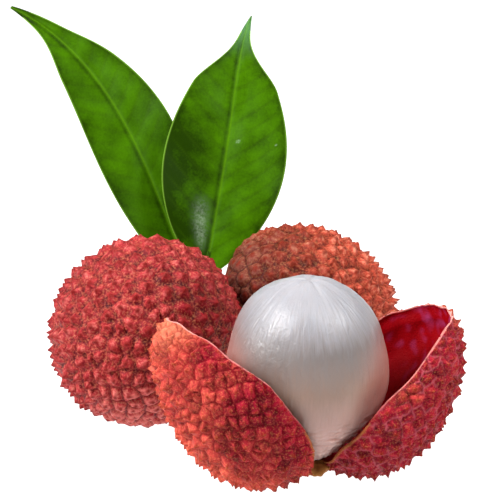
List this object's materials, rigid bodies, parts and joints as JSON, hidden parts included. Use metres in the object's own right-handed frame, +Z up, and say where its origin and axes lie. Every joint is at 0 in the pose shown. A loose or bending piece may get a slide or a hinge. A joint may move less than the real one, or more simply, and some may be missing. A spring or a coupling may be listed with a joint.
{
  "type": "bunch of lychees",
  "caption": "Whole lychees with leaves on a cut twig, and an opened lychee in front with its white flesh standing in the split peel.",
  "frame": {"origin": "on the resting surface, under the middle of the bunch's bounding box", "axes": "+Z up from the resting surface; +Y from the opened fruit back to the cut twig; +X to the right as seen from the opened fruit's side"},
  "size_m": [0.0926, 0.1168, 0.0743],
  "materials": {
    "peel_crimson": "deep pinkish red tubercled peel, satin, with darker grooves and orange-brown tips",
    "peel_russet": "orange-brown red tubercled peel, satin",
    "peel_open": "coral to crimson tubercled peel, smooth crimson inside, thin cream rim",
    "flesh_white": "translucent white flesh, wet and glossy, with fine fibres",
    "leaf_green": "glossy green leaf with a pale midrib and fine side veins",
    "twig_bark": "rough grey-brown bark, pale cut end"
  },
  "bodies": {
    "root": {"fruit_left": "peel_crimson", "fruit_back": "peel_russet", "peel": "peel_open", "aril": "flesh_white", "leaf_left": "leaf_green", "leaf_right": "leaf_green", "twig": "twig_bark"}
  },
  "joints": []
}
